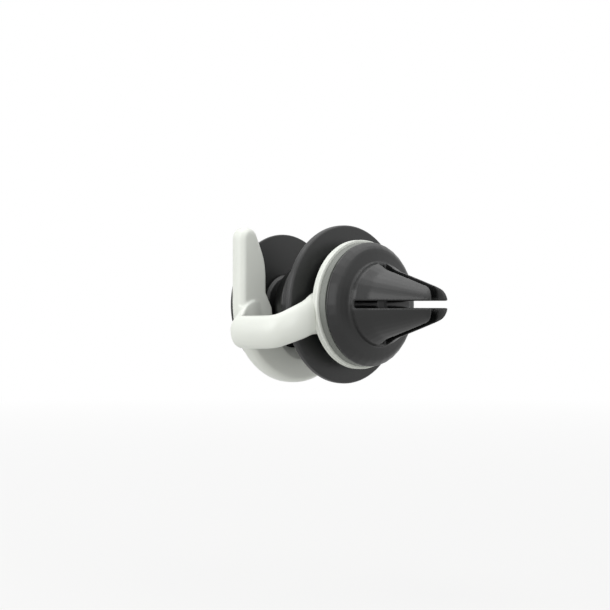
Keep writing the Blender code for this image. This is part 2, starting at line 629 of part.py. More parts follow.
def make_clip(parts, cutters, rubber, nylon):
    """The rubber boot with its four jaws, and the hub with four prongs inside it."""
    boot = turned("clip_boot", boot_profile(), parts, rubber, closed=False)
    bore = turned("boot_bore_cutter", [
        (0, BOOT_REAR_Y + MM),
        (BOOT_BORE_RADIUS, BOOT_REAR_Y + MM),
        (BOOT_BORE_RADIUS, CORE_FRONT_Y - FIT_GAP),
        (0, CORE_FRONT_Y - FIT_GAP),
    ], cutters, closed=False)
    combine(boot, bore, "DIFFERENCE")
    slot_reach = BOOT_RADIUS
    far_y = -JAW_LENGTH - MM
    half = BLADE_SLOT / 2
    blade_slot = tapered_bar("blade_slot_cutter", (-slot_reach, slot_reach, -half, half, far_y),
                             (-slot_reach, slot_reach, -half, half, BLADE_SLOT_FLOOR), cutters)
    combine(boot, blade_slot, "DIFFERENCE")
    half = CROSS_SLOT / 2
    cross_slot = tapered_bar("cross_slot_cutter", (-half, half, -slot_reach, slot_reach, far_y),
                             (-half, half, -slot_reach, slot_reach, CROSS_SLOT_FLOOR), cutters)
    combine(boot, cross_slot, "DIFFERENCE")
    crossing = turned("crossing_bore_cutter", [
        (0, BLADE_SLOT_FLOOR),
        (CROSSING_BORE_RADIUS, BLADE_SLOT_FLOOR),
        (CROSSING_BORE_RADIUS, far_y),
        (0, far_y),
    ], cutters, closed=False, steps=CROSSING_STEPS)
    combine(boot, crossing, "DIFFERENCE")
    slope = CROSS_SLOT_FLARE / CROSS_SLOT_FLARE_DEPTH
    wide = half + CROSS_SLOT_FLARE + slope * MM
    narrow = half - slope * MM
    mouth = tapered_bar("cross_mouth_cutter", (-wide, wide, -slot_reach, slot_reach, far_y),
                        (-narrow, narrow, -slot_reach, slot_reach, CROSS_SLOT_FLARE_DEPTH + MM - JAW_LENGTH),
                        cutters)
    combine(boot, mouth, "DIFFERENCE")

    core = turned("clip_core", [
        (0, SCREW_END_Y - FIT_GAP),
        (SCREW_HOLE_RADIUS, SCREW_END_Y - FIT_GAP),
        (SCREW_HOLE_RADIUS, BOSS_REAR_Y),
        (CORE_BOSS_RADIUS, BOSS_REAR_Y, CORE_EDGE / 2),
        (CORE_BOSS_RADIUS, CORE_REAR_Y),
        (SKIRT_BORE_RADIUS, CORE_REAR_Y),
        (SKIRT_BORE_RADIUS, CORE_SKIRT_Y),
        (SKIRT_RADIUS, CORE_SKIRT_Y),
        (SKIRT_RADIUS, CORE_FRONT_Y, CORE_EDGE),
        (0, CORE_FRONT_Y),
    ], parts, nylon, closed=False)
    for side_x in (-1, 1):
        for side_z in (-1, 1):
            label = f"{'right' if side_x > 0 else 'left'}_{'upper' if side_z > 0 else 'lower'}"
            pocket = tapered_bar(f"pocket_cutter_{label}", *prong_ends(side_x, side_z, FIT_GAP), cutters)
            combine(boot, pocket, "DIFFERENCE")
            tip, root = prong_ends(side_x, side_z, 0)
            sunk_root = (*root[:4], CORE_FRONT_Y + CORE_PLATE / 2)
            prong = tapered_bar(f"prong_form_{label}", tip, sunk_root, cutters)
            combine(core, prong, "UNION")


def make_swivel(parts, nylon, steel, grey):
    """What joins the clip to the head: the bush between them, and the sprung stack behind the web."""
    turned("swivel_bush", [
        (BUSH_RADIUS, BUSH_REAR_Y),
        (BUSH_RADIUS - BUSH_TAPER, BUSH_FRONT_Y),
        (BUSH_BORE_RADIUS, BUSH_FRONT_Y),
        (BUSH_BORE_RADIUS, BUSH_REAR_Y),
    ], parts, grey)
    washer("friction_washer", WASHER_BORE_RADIUS, FRICTION_WASHER_Y, FRICTION_WASHER_THICKNESS, parts, nylon)
    washer("flat_washer", SCREW_HOLE_RADIUS, FLAT_WASHER_Y, FLAT_WASHER_THICKNESS, parts, steel)
    wave_spring("wave_spring", parts, steel)
    turned("swivel_screw", [
        (0, SCREW_HEAD_Y + SCREW_HEAD_HEIGHT - SCREW_DRIVE_DEPTH),
        (SCREW_DRIVE_RADIUS, SCREW_HEAD_Y + SCREW_HEAD_HEIGHT - SCREW_DRIVE_DEPTH),
        (SCREW_DRIVE_RADIUS, SCREW_HEAD_Y + SCREW_HEAD_HEIGHT),
        (SCREW_HEAD_RADIUS, SCREW_HEAD_Y + SCREW_HEAD_HEIGHT, SCREW_HEAD_HEIGHT / 2),
        (SCREW_HEAD_RADIUS, SCREW_HEAD_Y),
        (SCREW_SHANK_RADIUS, SCREW_HEAD_Y),
        (SCREW_SHANK_RADIUS, SCREW_END_Y, SCREW_SHANK_RADIUS / 3),
        (0, SCREW_END_Y),
    ], parts, steel, closed=False, steps=SMALL_TURN_STEPS)


def washer(name, bore_radius, front_y, thickness, collection, material):
    turned(name, [
        (WASHER_RADIUS, front_y + thickness),
        (WASHER_RADIUS, front_y),
        (bore_radius, front_y),
        (bore_radius, front_y + thickness),
    ], collection, material, steps=SMALL_TURN_STEPS)


def wave_spring(name, collection, material):
    """A thin ring that rises and falls round its circle."""
    steps = 2 * SMALL_TURN_STEPS
    shape = bmesh.new()
    sections = []
    for step in range(steps):
        angle = 2 * math.pi * step / steps
        low = SPRING_Y + SPRING_RISE * (1 - math.cos(SPRING_WAVES * angle)) / 2
        high = low + SPRING_THICKNESS
        section = []
        for radius, y in ((WASHER_BORE_RADIUS, low), (WASHER_RADIUS, low),
                          (WASHER_RADIUS, high), (WASHER_BORE_RADIUS, high)):
            section.append(shape.verts.new((radius * math.cos(angle), y, radius * math.sin(angle))))
        sections.append(section)
    for i, section in enumerate(sections):
        following = sections[(i + 1) % steps]
        for j in range(4):
            k = (j + 1) % 4
            shape.faces.new((section[j], section[k], following[k], following[j]))
    bmesh.ops.recalc_face_normals(shape, faces=shape.faces)
    mesh = bpy.data.meshes.new(name)
    shape.to_mesh(mesh)
    shape.free()
    mesh.shade_smooth()
    mesh.set_sharp_from_angle(angle=math.radians(40))
    add_object(name, mesh, collection, material)


def bellows_body():
    """The bellows' outer line, from above the foot on the base to the mouth behind the top disc."""
    crest_y = CRADLE_FRONT_Y - SEAT_GAP
    fold_y = crest_y - BELLOWS_FOLD_REACH
    mouth_y = BELLOWS_MOUTH_Y + BELLOWS_MOUTH_REACH
    mouth_neck = BELLOWS_MOUTH_RADIUS - BELLOWS_MOUTH_STEP
    return filleted([
        (BELLOWS_NECK_RADIUS, BELLOWS_FOOT_Y - BELLOWS_WALL),
        (BELLOWS_NECK_RADIUS, CRADLE_FRONT_Y + BELLOWS_NECK_SINK, BELLOWS_ROUNDING),
        (BELLOWS_CREST_RADIUS, crest_y, BELLOWS_ROUNDING),
        (BELLOWS_FOLD_RADIUS, fold_y, BELLOWS_ROUNDING),
        (BELLOWS_WAIST_RADIUS, fold_y - BELLOWS_WAIST_REACH, BELLOWS_ROUNDING),
        (BELLOWS_MOUTH_RADIUS, mouth_y, BELLOWS_ROUNDING),
        (mouth_neck, mouth_y - BELLOWS_MOUTH_STEP, BELLOWS_ROUNDING),
        (mouth_neck, BELLOWS_MOUTH_Y + BELLOWS_WALL),
    ])


def bellows_line():
    """The closed outline of the bellows' wall, with its foot, its bead and its mouth turned inwards."""
    body = bellows_body()
    line = [
        (BEAD_RADIUS, BELLOWS_FOOT_Y, BELLOWS_ROUNDING / 2),
        (BEAD_RADIUS, BELLOWS_FOOT_Y - BELLOWS_BEAD, BELLOWS_ROUNDING),
        (BELLOWS_NECK_RADIUS, BELLOWS_FOOT_Y - BELLOWS_BEAD),
    ]
    line += [tuple(place) for place in body[1:-1]]
    line.append((body[-1].x, BELLOWS_MOUTH_Y))
    line.append((TOP_BORE_RADIUS, BELLOWS_MOUTH_Y))
    line.append((TOP_BORE_RADIUS, BELLOWS_MOUTH_Y + BELLOWS_WALL))
    line += [tuple(place) for place in reversed(offset_line(body, BELLOWS_WALL))]
    line.append((FOOT_BORE_RADIUS, BELLOWS_FOOT_Y - BELLOWS_WALL))
    line.append((FOOT_BORE_RADIUS, BELLOWS_FOOT_Y))
    return line


def make_grip(parts, plastic, elastomer, nylon, foam):
    """The collapsible grip: a stuck-on base, a bellows, and the top disc on its hub."""
    turned("adhesive_pad", [
        (0, PAD_REAR_Y),
        (PAD_RADIUS, PAD_REAR_Y),
        (PAD_RADIUS, PAD_FRONT_Y),
        (0, PAD_FRONT_Y),
    ], parts, foam, closed=False)
    turned("base_disc", [
        (BASE_RADIUS, BASE_REAR_Y, BASE_EDGE),
        (BASE_RADIUS, BASE_FRONT_Y + BASE_FALL, BASE_EDGE),
        (BEAD_RADIUS + MM, BASE_FRONT_Y),
        (FOOT_BORE_RADIUS, BASE_FRONT_Y),
        (FOOT_BORE_RADIUS, BASE_REAR_Y),
    ], parts, plastic)
    turned("bellows", bellows_line(), parts, elastomer)
    foot_radius = BELLOWS_NECK_RADIUS - BELLOWS_WALL - FIT_GAP
    turned("foot_clamp", [
        (0, BASE_REAR_Y),
        (FOOT_STEM_RADIUS, BASE_REAR_Y),
        (FOOT_STEM_RADIUS, FOOT_CLAMP_Y),
        (foot_radius, FOOT_CLAMP_Y),
        (foot_radius, FOOT_CLAMP_Y - CLAMP_FLANGE),
        (0, FOOT_CLAMP_Y - CLAMP_FLANGE),
    ], parts, nylon, closed=False, steps=SMALL_TURN_STEPS)
    top_radius = BELLOWS_MOUTH_RADIUS - BELLOWS_MOUTH_STEP - BELLOWS_WALL - CLAMP_INSET
    turned("top_clamp", [
        (0, TOP_CLAMP_Y + CLAMP_FLANGE),
        (top_radius, TOP_CLAMP_Y + CLAMP_FLANGE),
        (top_radius, TOP_CLAMP_Y),
        (TOP_STEM_RADIUS, TOP_CLAMP_Y),
        (TOP_STEM_RADIUS, TOP_HUB_Y),
        (0, TOP_HUB_Y),
    ], parts, nylon, closed=False)
    turned("top_hub", [
        (TOP_HUB_RADIUS, TOP_HUB_Y + TOP_HUB_THICKNESS),
        (TOP_HUB_RADIUS, TOP_HUB_Y),
        (TOP_BORE_RADIUS, TOP_HUB_Y),
        (TOP_BORE_RADIUS, TOP_HUB_Y + TOP_HUB_THICKNESS),
    ], parts, nylon)
    socket_radius = TOP_HUB_RADIUS + FIT_GAP
    turned("top_disc", [
        (0, DISC_REAR_Y - DISC_SOCKET_DEPTH),
        (socket_radius, DISC_REAR_Y - DISC_SOCKET_DEPTH),
        (socket_radius, DISC_REAR_Y),
        (DISC_RADIUS, DISC_REAR_Y, DISC_EDGE),
        (DISC_RADIUS, DISC_FRONT_Y, DISC_EDGE),
        (0, DISC_FRONT_Y),
    ], parts, plastic, closed=False)


def offset_line(points, distance):
    """A line beside this one, on the side of the axis, at this distance from it."""
    moved = []
    for i, point in enumerate(points):
        sides = []
        if i > 0:
            sides.append((point - points[i - 1]).normalized())
        if i < len(points) - 1:
            sides.append((points[i + 1] - point).normalized())
        normals = [Vector((side.y, -side.x)) for side in sides]
        middle = sum(normals, Vector((0, 0))).normalized()
        stretch = distance / max(middle.dot(normals[0]), 0.5)
        moved.append(point + middle * stretch)
    return moved


def add_axis(name, y, children):
    """An empty on a joint's axis, with the pieces that move on it as its children."""
    axis = bpy.data.objects.new(name, None)
    axis.empty_display_type = "SINGLE_ARROW"
    axis.empty_display_size = 10 * MM
    axis.location = (0, y, 0)
    axis.rotation_euler = (math.pi / 2, 0, 0)
    bpy.context.scene.collection.objects.link(axis)
    bpy.context.view_layer.update()
    for child in children:
        obj = bpy.data.objects[child]
        obj.parent = axis
        obj.matrix_parent_inverse = axis.matrix_world.inverted()
    return axis


def main():
    for obj in list(bpy.data.objects):
        bpy.data.objects.remove(obj)
    parts = make_collection("air_vent_phone_holder")
    cutters = make_collection("cutters")
    cutters.hide_render = True

    pale = make_material("pale grey moulded plastic", "#D5D8D0", 0.3)
    grey = make_material("grey moulded plastic", "#8E918C", 0.45)
    rubber = make_material("black moulded rubber", "#2C2D2D", 0.5)
    grip_plastic = make_material("black moulded plastic", "#2E2F30", 0.42)
    elastomer = make_material("black moulded elastomer", "#2A2B2B", 0.5)
    nylon = make_material("natural nylon", "#3A3B3C", 0.5)
    foam = make_material("adhesive foam", "#1E1F1F", 0.9)
    steel = make_material("zinc-plated steel", "#B9BCBE", 0.3, 1.0)

    make_bracket(parts, cutters, pale)
    make_clip(parts, cutters, rubber, nylon)
    make_swivel(parts, nylon, steel, grey)
    make_grip(parts, grip_plastic, elastomer, nylon, foam)

    clip_pieces = ["clip_boot", "clip_core", "swivel_screw", "flat_washer", "wave_spring"]
    add_axis("clip_swivel_axis", BUSH_FRONT_Y, clip_pieces)
    grip_pieces = ["adhesive_pad", "base_disc", "foot_clamp", "bellows"]
    grip_axis = add_axis("grip_swivel_axis", CRADLE_MIDDLE_Y, grip_pieces)
    slide = add_axis("grip_collapse_axis", DISC_REAR_Y, ["top_disc", "top_hub", "top_clamp"])
    slide.parent = grip_axis
    slide.matrix_parent_inverse = grip_axis.matrix_world.inverted()


main()
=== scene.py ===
"""The looks of a phone holder that clips to the blade of a car's air vent.

The swivel axis is the Y axis, the jaws point to -Y, the phone side is +Y, and +Z is up. The fine
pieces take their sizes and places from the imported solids.
"""

import json
import math

import bpy
import numpy as np
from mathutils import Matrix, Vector

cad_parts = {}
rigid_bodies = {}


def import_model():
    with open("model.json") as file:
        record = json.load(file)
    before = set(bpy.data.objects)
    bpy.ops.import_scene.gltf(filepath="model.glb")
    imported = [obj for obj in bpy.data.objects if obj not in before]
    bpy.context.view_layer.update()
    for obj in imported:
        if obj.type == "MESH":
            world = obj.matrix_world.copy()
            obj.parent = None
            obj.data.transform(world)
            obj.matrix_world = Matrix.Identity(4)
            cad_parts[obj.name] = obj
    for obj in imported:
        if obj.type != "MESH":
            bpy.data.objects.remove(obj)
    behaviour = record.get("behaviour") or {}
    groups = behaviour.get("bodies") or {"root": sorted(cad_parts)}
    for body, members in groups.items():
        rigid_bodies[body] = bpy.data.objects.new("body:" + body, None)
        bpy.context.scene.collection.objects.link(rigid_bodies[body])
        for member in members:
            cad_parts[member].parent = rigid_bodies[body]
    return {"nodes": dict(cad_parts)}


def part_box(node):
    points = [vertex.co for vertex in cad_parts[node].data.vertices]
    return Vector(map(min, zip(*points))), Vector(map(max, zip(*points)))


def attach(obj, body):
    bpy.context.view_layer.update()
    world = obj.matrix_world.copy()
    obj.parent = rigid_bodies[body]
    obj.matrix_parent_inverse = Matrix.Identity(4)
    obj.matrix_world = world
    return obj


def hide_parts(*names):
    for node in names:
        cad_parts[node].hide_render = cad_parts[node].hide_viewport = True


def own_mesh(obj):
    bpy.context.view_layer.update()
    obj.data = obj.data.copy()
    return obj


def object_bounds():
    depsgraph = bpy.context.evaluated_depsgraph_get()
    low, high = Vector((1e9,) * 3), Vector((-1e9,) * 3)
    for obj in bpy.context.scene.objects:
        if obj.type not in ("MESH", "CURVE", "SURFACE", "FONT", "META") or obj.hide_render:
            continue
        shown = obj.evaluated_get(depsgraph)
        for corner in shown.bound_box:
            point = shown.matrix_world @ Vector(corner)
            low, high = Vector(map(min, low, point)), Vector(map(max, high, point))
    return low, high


MM = 0.001

# Camera, measured from the photograph's frame of 610 x 610 pixels
FRAME_PIXELS = 610
FOCAL_PIXELS = 1690.21
SENSOR = 36
CAMERA_PLACE = (-301.6 * MM, -283.7 * MM, -0.14 * MM)
CAMERA_PITCH = 90
CAMERA_TURN = -44.04
CAMERA_NEAR = 0.01
CAMERA_FAR = 50

# Floor: under the object it keeps the shadow, and farther out it fades to white
FLOOR_DROP = 52 * MM
FLOOR_SIZE = 6.0
FLOOR_COLOUR = "#C2C2C0"
FLOOR_ROUGHNESS = 0.9
FLOOR_WHITE_SHARE = 0.8
FLOOR_FADE_START = 0.1
FLOOR_FADE_END = 0.9

# Light: lamps all at one distance. Azimuth 0 is the jaws' side, and 90 is +X
ROOM_STRENGTH = 0.42
LAMP_DISTANCE = 0.7
LAMP_SIZE = 0.45
LAMPS = (  # name, azimuth, elevation, watts
    ("rear_left", -115, 20, 1.75),
    ("rear_left_high", -150, 65, 1.2),
    ("left", -50, 15, 1.0),
    ("left_high", -50, 65, 0.8),
    ("front_high", 0, 40, 0.6),
    ("right", 40, 5, 0.1),
    ("right_high", 40, 65, 0.8),
    ("rear_right_high", 120, 65, 0.6),
)

# Materials: the size of the uneven patches and the height of the grain
PLASTIC_IOR = 1.5
MOTTLE_SIZE = 6.0 * MM
MOTTLE_DETAIL = 3.0
ROUGHNESS_SWING = 0.04
GRAIN_DETAIL = 2.0
GRAIN_HEIGHT = 0.03 * MM

# The Mix node's colour sockets, by number because other sockets have the same names
MIX_FIRST = 6
MIX_SECOND = 7
MIX_RESULT = 2

# Fineness of the meshes
TURN_STEPS = 144
ARC_STEP = math.radians(15)
CORNER_SHARE = 0.48  # the most of a side that one fillet may take
VOXEL = 0.25 * MM
SPIN_MERGE = 0.002 * MM
SOLID_MERGE = 0.001 * MM

# Shading angles in degrees, and how often each piece is smoothed
TURNED_SMOOTH_ANGLE = 32
BRACKET_SMOOTH_ANGLE = 35
BOOT_SMOOTH_ANGLE = 50
BELLOWS_SMOOTH_ANGLE = 60
SOFTENING_FACTOR = 0.5
BRACKET_SOFTENING = 8
BOOT_SOFTENING = 4
BELLOWS_SOFTENING = 6

# Fillets that the solids leave plain
DISC_EDGE = 0.6 * MM
BASE_EDGE = 0.4 * MM
PAD_EDGE = 0.15 * MM
BUSH_EDGE = 0.15 * MM
COVER_EDGE = 0.25 * MM
COVER_DISH_EDGE = 0.2 * MM
SOCKET_EDGE = 0.1 * MM
CLAMP_EDGE = 0.2 * MM
CLAMP_UNDER_EDGE = 0.1 * MM

# The play between pieces that fit into each other
FIT = 0.15 * MM

# Bracket head: radii and steps along the axis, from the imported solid's own sizes
HEAD_CAVITY_RADIUS = 9.2 * MM
HEAD_TUBE_WALL = 1.6 * MM
HEAD_WEB = 1.3 * MM
HEAD_WEB_HOLE = 3.3 * MM
HEAD_CUP_WALL = 2.2 * MM
HEAD_FLANGE = 1.7 * MM
HEAD_FLANGE_LIP = 1.95 * MM
HEAD_GROOVE = 0.3 * MM
HEAD_GROOVE_SHARE = 0.58

# Fillets on the head's profile
CUP_MOUTH_EDGE = 0.15 * MM
CUP_EDGE = 0.4 * MM
FLANGE_ROOT = 0.3 * MM
FLANGE_REAR_EDGE = 0.45 * MM
FLANGE_FRONT_EDGE = 0.25 * MM
GROOVE_EDGE = 0.1 * MM
TUBE_EDGE = 0.2 * MM
WEB_EDGE = 0.1 * MM

# The back cover's dish, and the taper of the band in front of the head
COVER_DISH = 0.3 * MM
COVER_RIM = 2.0 * MM
COVER_RIM_TOP = 1.7 * MM
BUSH_TAPER = 0.25 * MM

# Cradle and arm: the bend's places are measured from the plate's front face
CRADLE_THICKNESS = 4.8 * MM
CUT_SLACK = 0.01 * MM
EDGE_SLACK = 0.02 * MM
ARM_POINTS = 24
ARM_SPAN_STEPS = 4
FIRST_RING_RADIUS = 1.0
ARM_CROWN = 0.88
ARM_X = 23.4 * MM
ARM_START_DEPTH = 2.1 * MM
ARM_ROOT_DEPTH = 0.95 * MM
BEND_X = 16.6 * MM
BEND_DEPTH = 1.85 * MM
ARM_START = (-12.5 * MM, -4.0 * MM, 9.6 * MM, 3.3 * MM)  # x, middle z, height, thickness
ARM_BEND = (  # degrees, top z, bottom z, thickness
    (0, 1.0 * MM, -8.0 * MM, 3.4 * MM),
    (25, -0.2 * MM, -8.5 * MM, 3.4 * MM),
    (50, -2.4 * MM, -9.4 * MM, 3.4 * MM),
    (72, -2.6 * MM, -10.3 * MM, 3.2 * MM),
    (90, -2.7 * MM, -10.9 * MM, 3.0 * MM),
)
ARM_SIDE_FORWARD = 2 * MM  # from halfway between plate and disc, towards the jaws
ARM_SIDE = (-ARM_X, -6.75 * MM, 8.3 * MM, 3.0 * MM)  # x, middle z, height, thickness
ARM_AT_DISC = (0.4 * MM - ARM_X, -6.4 * MM, 8.4 * MM, 3.0 * MM)
ARM_HEAD_STEP = 0.4 * MM
ARM_TO_HEAD = (  # x, distance behind the head's line, middle z, height, thickness
    (-20.4 * MM, 1.5 * MM, -4.8 * MM, 9.0 * MM, 3.0 * MM),
    (-17.6 * MM, 0.1 * MM, -3.6 * MM, 9.5 * MM, 2.65 * MM),
    (-14.5 * MM, 0, -2.2 * MM, 10.4 * MM, 2.3 * MM),
    (-10.5 * MM, 0, -2.2 * MM, 10.4 * MM, 2.3 * MM),
)
ARM_HOLLOW_MARGIN = 0.6 * MM

# Grip
BASE_BORE_RADIUS = 3.95 * MM
BASE_SEAT_RADIUS = 8.8 * MM
BASE_SEAT_STEP = 0.15 * MM
BELLOWS_SEAM_GAP = 0.15 * MM
CLAMP_RADIUS = 10.1 * MM
CLAMP_NECK_RADIUS = 8.6 * MM
CLAMP_THICKNESS = 0.7 * MM


def linear(hex_colour):
    """The linear values of an sRGB hex colour."""
    channels = [int(hex_colour[i : i + 2], 16) / 255 for i in (1, 3, 5)]
    return [c / 12.92 if c <= 0.04045 else ((c + 0.055) / 1.055) ** 2.4 for c in channels] + [1.0]


WHITE = linear("#FFFFFF")


def add_node(tree, kind, settings=None, links=None):
    """A node with its settings and its incoming links, both given by name or by number."""
    node = tree.nodes.new(kind)
    for name, value in (settings or {}).items():
        if isinstance(name, int) or name in node.inputs:
            node.inputs[name].default_value = value
        else:
            setattr(node, name, value)
    for name, source in (links or {}).items():
        tree.links.new(source, node.inputs[name])
    return node


def deselect_all():
    """Goes back to object mode with nothing selected."""
    if bpy.context.object and bpy.context.object.mode != "OBJECT":
        bpy.ops.object.mode_set(mode="OBJECT")
    bpy.ops.object.select_all(action="DESELECT")


def pick(obj):
    """Makes this the only selected object, and the active one."""
    deselect_all()
    obj.select_set(True)
    bpy.context.view_layer.objects.active = obj


def edit(obj):
    """Opens the object's mesh for work on its points."""
    pick(obj)
    bpy.ops.object.mode_set(mode="EDIT")
    bpy.ops.mesh.select_mode(type="VERT")


def smooth(obj, degrees):
    """Shades the object smooth, with edges left sharp where they turn more than this."""
    pick(obj)
    bpy.ops.object.shade_smooth_by_angle(angle=math.radians(degrees))


def settle(obj):
    """Puts the object's place into its mesh."""
    pick(obj)
    bpy.ops.object.transform_apply(location=True, rotation=True, scale=True)


def modify(obj, kind, **settings):
    """Adds a modifier and applies it."""
    pick(obj)
    modifier = obj.modifiers.new(kind.title(), kind)
    for name, value in settings.items():
        setattr(modifier, name, value)
    bpy.ops.object.modifier_apply(modifier=modifier.name)


def combine(obj, other, operation):
    """Joins the other mesh to this one or cuts it away, and removes it."""
    modify(obj, "BOOLEAN", operation=operation, solver="EXACT", object=other)
    bpy.data.objects.remove(other)


def corner_arc(before, corner, after, radius):
    """The points of a fillet on one corner of a profile, no longer than its sides allow."""
    to_before = before - corner
    to_after = after - corner
    half = to_before.angle(to_after) / 2
    reach = min(radius / math.tan(half), to_before.length * CORNER_SHARE, to_after.length * CORNER_SHARE)
    radius = reach * math.tan(half)
    inwards = (to_before.normalized() + to_after.normalized()).normalized()
    centre = corner + inwards * (radius / math.sin(half))
    start = corner + to_before.normalized() * reach - centre
    end = corner + to_after.normalized() * reach - centre
    first = math.atan2(start.y, start.x)
    turn = (math.atan2(end.y, end.x) - first + math.pi) % (2 * math.pi) - math.pi
    steps = max(2, round(abs(turn) / ARC_STEP))
    angles = [first + turn * step / steps for step in range(steps + 1)]
    return [centre + radius * Vector((math.cos(angle), math.sin(angle))) for angle in angles]


def rounded(profile):
    """A profile's points, with an arc on each corner that has a third value, its fillet radius."""
    places = [Vector(corner[:2]) for corner in profile]
    points = []
    for i, corner in enumerate(profile):
        if len(corner) == 3:
            points += corner_arc(places[i - 1], places[i], places[(i + 1) % len(places)], corner[2])
        else:
            points.append(places[i])
    return points


def turned(name, profile, closed=False):
    """A piece spun about the Y axis from a profile of (radius, y, fillet) corners.

    An open profile starts and ends on the axis, and a closed one is a ring's section.
    """
    points = rounded(profile)
    deselect_all()
    bpy.ops.mesh.primitive_plane_add(size=MM, location=(points[0].x, points[0].y, 0))
    obj = bpy.context.object
    obj.name = name
    obj.data.name = name
    settle(obj)
    edit(obj)
    bpy.ops.mesh.select_all(action="SELECT")
    bpy.ops.mesh.merge(type="CENTER")
    for point, following in zip(points, points[1:]):
        step = following - point
        bpy.ops.mesh.extrude_vertices_move(TRANSFORM_OT_translate={"value": (step.x, step.y, 0)})
    bpy.ops.mesh.select_all(action="SELECT")
    if closed:
        bpy.ops.mesh.edge_face_add()
        bpy.ops.mesh.delete(type="ONLY_FACE")
        bpy.ops.mesh.select_all(action="SELECT")
    bpy.ops.mesh.spin(steps=TURN_STEPS, angle=2 * math.pi, center=(0, 0, 0), axis=(0, 1, 0))
    bpy.ops.mesh.select_all(action="SELECT")
    bpy.ops.mesh.remove_doubles(threshold=SPIN_MERGE)
    bpy.ops.mesh.normals_make_consistent(inside=False)
    bpy.ops.object.mode_set(mode="OBJECT")
    smooth(obj, TURNED_SMOOTH_ANGLE)
    return obj


def dress(obj, material, body, slot, *nodes):
    """Gives a piece its material and its body, and lets it stand for its solids."""
    obj.data.materials.clear()
    obj.data.materials.append(material)
    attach(obj, body)
    if nodes:
        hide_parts(*nodes)


def copy_of_solid(node, name):
    """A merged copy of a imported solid's mesh, to be worked on."""
    source = frame["nodes"][node]
    obj = bpy.data.objects.new(name, source.data.copy())
    bpy.context.scene.collection.objects.link(obj)
    obj.data.name = name
    edit(obj)
    bpy.ops.mesh.select_all(action="SELECT")
    bpy.ops.mesh.remove_doubles(threshold=SOLID_MERGE)
    bpy.ops.object.mode_set(mode="OBJECT")
    return obj


def soften(obj, iterations):
    """Rounds every edge a little, through a fine even mesh that is smoothed."""
    modify(obj, "REMESH", mode="VOXEL", voxel_size=VOXEL)
    modify(obj, "SMOOTH", factor=SOFTENING_FACTOR, iterations=iterations)


# Materials


def moulded(name, hex_colour, shade_hex, roughness, grain_size, grain_depth):
    """A moulded plastic or rubber: fine grain from the tool's surface, and a little unevenness."""
    material = bpy.data.materials.new(name)
    material.use_nodes = True
    tree = material.node_tree
    shader = tree.nodes["Principled BSDF"]
    shader.inputs["IOR"].default_value = PLASTIC_IOR
    place = add_node(tree, "ShaderNodeTexCoord").outputs["Object"]
    patches = {"Scale": 1 / MOTTLE_SIZE, "Detail": MOTTLE_DETAIL}
    mottle = add_node(tree, "ShaderNodeTexNoise", patches, {"Vector": place}).outputs["Fac"]
    colours = {"data_type": "RGBA", MIX_FIRST: linear(hex_colour), MIX_SECOND: linear(shade_hex)}
    colour = add_node(tree, "ShaderNodeMix", colours, {"Factor": mottle})
    tree.links.new(colour.outputs[MIX_RESULT], shader.inputs["Base Color"])
    swing = {"To Min": roughness - ROUGHNESS_SWING, "To Max": roughness + ROUGHNESS_SWING}
    rough = add_node(tree, "ShaderNodeMapRange", swing, {"Value": mottle})
    tree.links.new(rough.outputs["Result"], shader.inputs["Roughness"])
    grains = {"Scale": 1 / grain_size, "Detail": GRAIN_DETAIL}
    grain = add_node(tree, "ShaderNodeTexNoise", grains, {"Vector": place}).outputs["Fac"]
    relief = {"Strength": grain_depth, "Distance": GRAIN_HEIGHT}
    bump = add_node(tree, "ShaderNodeBump", relief, {"Height": grain})
    tree.links.new(bump.outputs["Normal"], shader.inputs["Normal"])
    return material


def plated_steel():
    """Zinc-plated steel: a soft grey metal with faint blotches from the bath."""
    material = moulded("zinc_plated_steel", "#B9BCBE", "#A6A9AC", 0.32, 0.25 * MM, 0.2)
    material.node_tree.nodes["Principled BSDF"].inputs["Metallic"].default_value = 1.0
    return material


def seen_directly(tree):
    """One for the rays that show the background itself: to the camera, in gloss and through glass."""
    path = add_node(tree, "ShaderNodeLightPath")
    seen = add_node(tree, "ShaderNodeMath", {"operation": "MAXIMUM"},
                    {0: path.outputs["Is Camera Ray"], 1: path.outputs["Is Glossy Ray"]})
    return add_node(tree, "ShaderNodeMath", {"operation": "MAXIMUM"},
                    {0: seen.outputs[0], 1: path.outputs["Is Transmission Ray"]})


def studio_white(name):
    """A pale grey surface that the camera sees as nearly white, and that keeps the object's shadow."""
    material = bpy.data.materials.new(name)
    material.use_nodes = True
    tree = material.node_tree
    shader = tree.nodes["Principled BSDF"]
    shader.inputs["Base Color"].default_value = linear(FLOOR_COLOUR)
    shader.inputs["Roughness"].default_value = FLOOR_ROUGHNESS
    seen = seen_directly(tree).outputs[0]
    place = add_node(tree, "ShaderNodeTexCoord").outputs["Object"]
    distance = add_node(tree, "ShaderNodeVectorMath", {"operation": "LENGTH"}, {0: place}).outputs["Value"]
    reach = {"From Min": FLOOR_FADE_START, "From Max": FLOOR_FADE_END, "To Min": FLOOR_WHITE_SHARE}
    fade = add_node(tree, "ShaderNodeMapRange", reach, {"Value": distance}).outputs[0]
    share = add_node(tree, "ShaderNodeMath", {"operation": "MULTIPLY"}, {0: seen, 1: fade}).outputs[0]
    glow = add_node(tree, "ShaderNodeEmission", {"Color": WHITE, "Strength": 1.0}).outputs[0]
    mix = add_node(tree, "ShaderNodeMixShader", {}, {0: share, 1: shader.outputs[0], 2: glow})
    tree.links.new(mix.outputs[0], tree.nodes["Material Output"].inputs["Surface"])
    return material


# Stage


